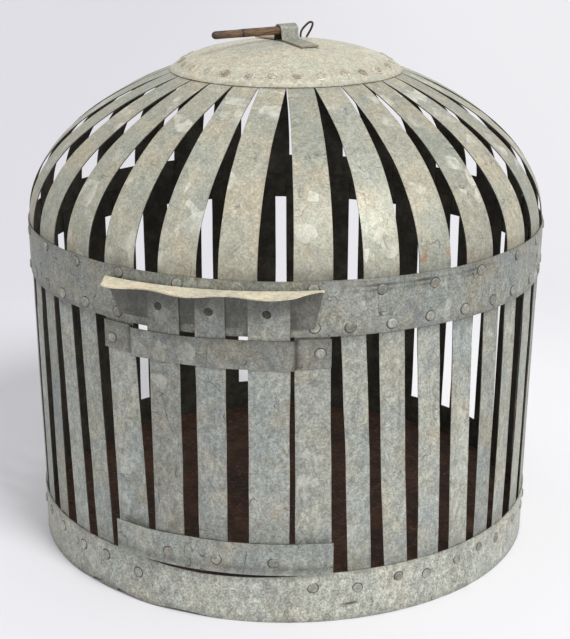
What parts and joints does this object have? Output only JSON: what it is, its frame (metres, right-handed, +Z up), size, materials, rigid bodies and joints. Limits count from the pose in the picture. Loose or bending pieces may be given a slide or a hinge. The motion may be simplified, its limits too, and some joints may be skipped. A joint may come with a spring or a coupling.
{
  "type": "bingo cage",
  "caption": "Free-standing round cage of riveted sheet-metal straps with a domed top, a round cap with a loop and peg, a sheet floor and a slatted door that lifts.",
  "frame": {"origin": "on the cage's axis, at the level its bottom rim stands on", "axes": "+Z up along the cage's axis, -Y towards the side with the door, +X to the right of the door seen from the front"},
  "size_m": [0.4594, 0.4828, 0.4586],
  "materials": {
    "wall_zinc": "weathered galvanised sheet, dull spangle with dark marks and a little rust",
    "dome_zinc": "weathered galvanised sheet, warm grey, blotchy",
    "door_zinc": "weathered galvanised sheet, warm grey with a rubbed handle edge",
    "rusty_sheet": "dark brown rusted sheet with swirled scratches",
    "old_wood": "dark worn wood",
    "dark_wire": "dark rusty wire"
  },
  "bodies": {
    "cage": {"bottom_hoop": "wall_zinc", "mid_hoop": "wall_zinc", "cap": "dome_zinc", "floor_plate": "rusty_sheet", "guide_strap": "door_zinc", "left_post": "wall_zinc", "right_post": "wall_zinc", "handle_bracket": "dome_zinc", "wire_eye": "dark_wire", "wall_slat_01": "wall_zinc", "wall_slat_02": "wall_zinc", "wall_slat_03": "wall_zinc", "wall_slat_04": "wall_zinc", "wall_slat_05": "wall_zinc", "wall_slat_06": "wall_zinc", "wall_slat_07": "wall_zinc", "wall_slat_08": "wall_zinc", "wall_slat_09": "wall_zinc", "wall_slat_10": "wall_zinc", "wall_slat_11": "wall_zinc", "wall_slat_12": "wall_zinc", "wall_slat_13": "wall_zinc", "wall_slat_14": "wall_zinc", "wall_slat_15": "wall_zinc", "wall_slat_16": "wall_zinc", "wall_slat_17": "wall_zinc", "wall_slat_18": "wall_zinc", "wall_slat_19": "wall_zinc", "wall_slat_20": "wall_zinc", "wall_slat_21": "wall_zinc", "wall_slat_22": "wall_zinc", "wall_slat_23": "wall_zinc", "wall_slat_24": "wall_zinc", "wall_slat_25": "wall_zinc", "wall_slat_26": "wall_zinc", "wall_slat_27": "wall_zinc", "wall_slat_28": "wall_zinc", "wall_slat_29": "wall_zinc", "wall_slat_30": "wall_zinc", "wall_slat_31": "wall_zinc", "wall_slat_32": "wall_zinc", "wall_slat_33": "wall_zinc", "wall_slat_34": "wall_zinc", "rib_fan_01": "dome_zinc", "rib_fan_02": "dome_zinc", "rib_fan_03": "dome_zinc", "rib_fan_04": "dome_zinc", "rib_fan_05": "dome_zinc", "rib_fan_06": "dome_zinc", "rib_fan_07": "dome_zinc"},
    "door": {"door_handle_plate": "door_zinc", "door_slat_01": "door_zinc", "door_slat_02": "door_zinc", "door_slat_03": "door_zinc", "door_bar": "door_zinc"},
    "peg": {"peg": "old_wood"}
  },
  "joints": [
    {"name": "door_lift", "type": "slide", "parent": "cage", "child": "door", "axis": [-0.0045, -0.0192, 0.9998], "range_m": [0, 0.1475]},
    {"name": "peg_slide", "type": "slide", "parent": "cage", "child": "peg", "axis": [-0.848, -0.5299, 0], "range_m": [-0.045, 0.014]}
  ]
}
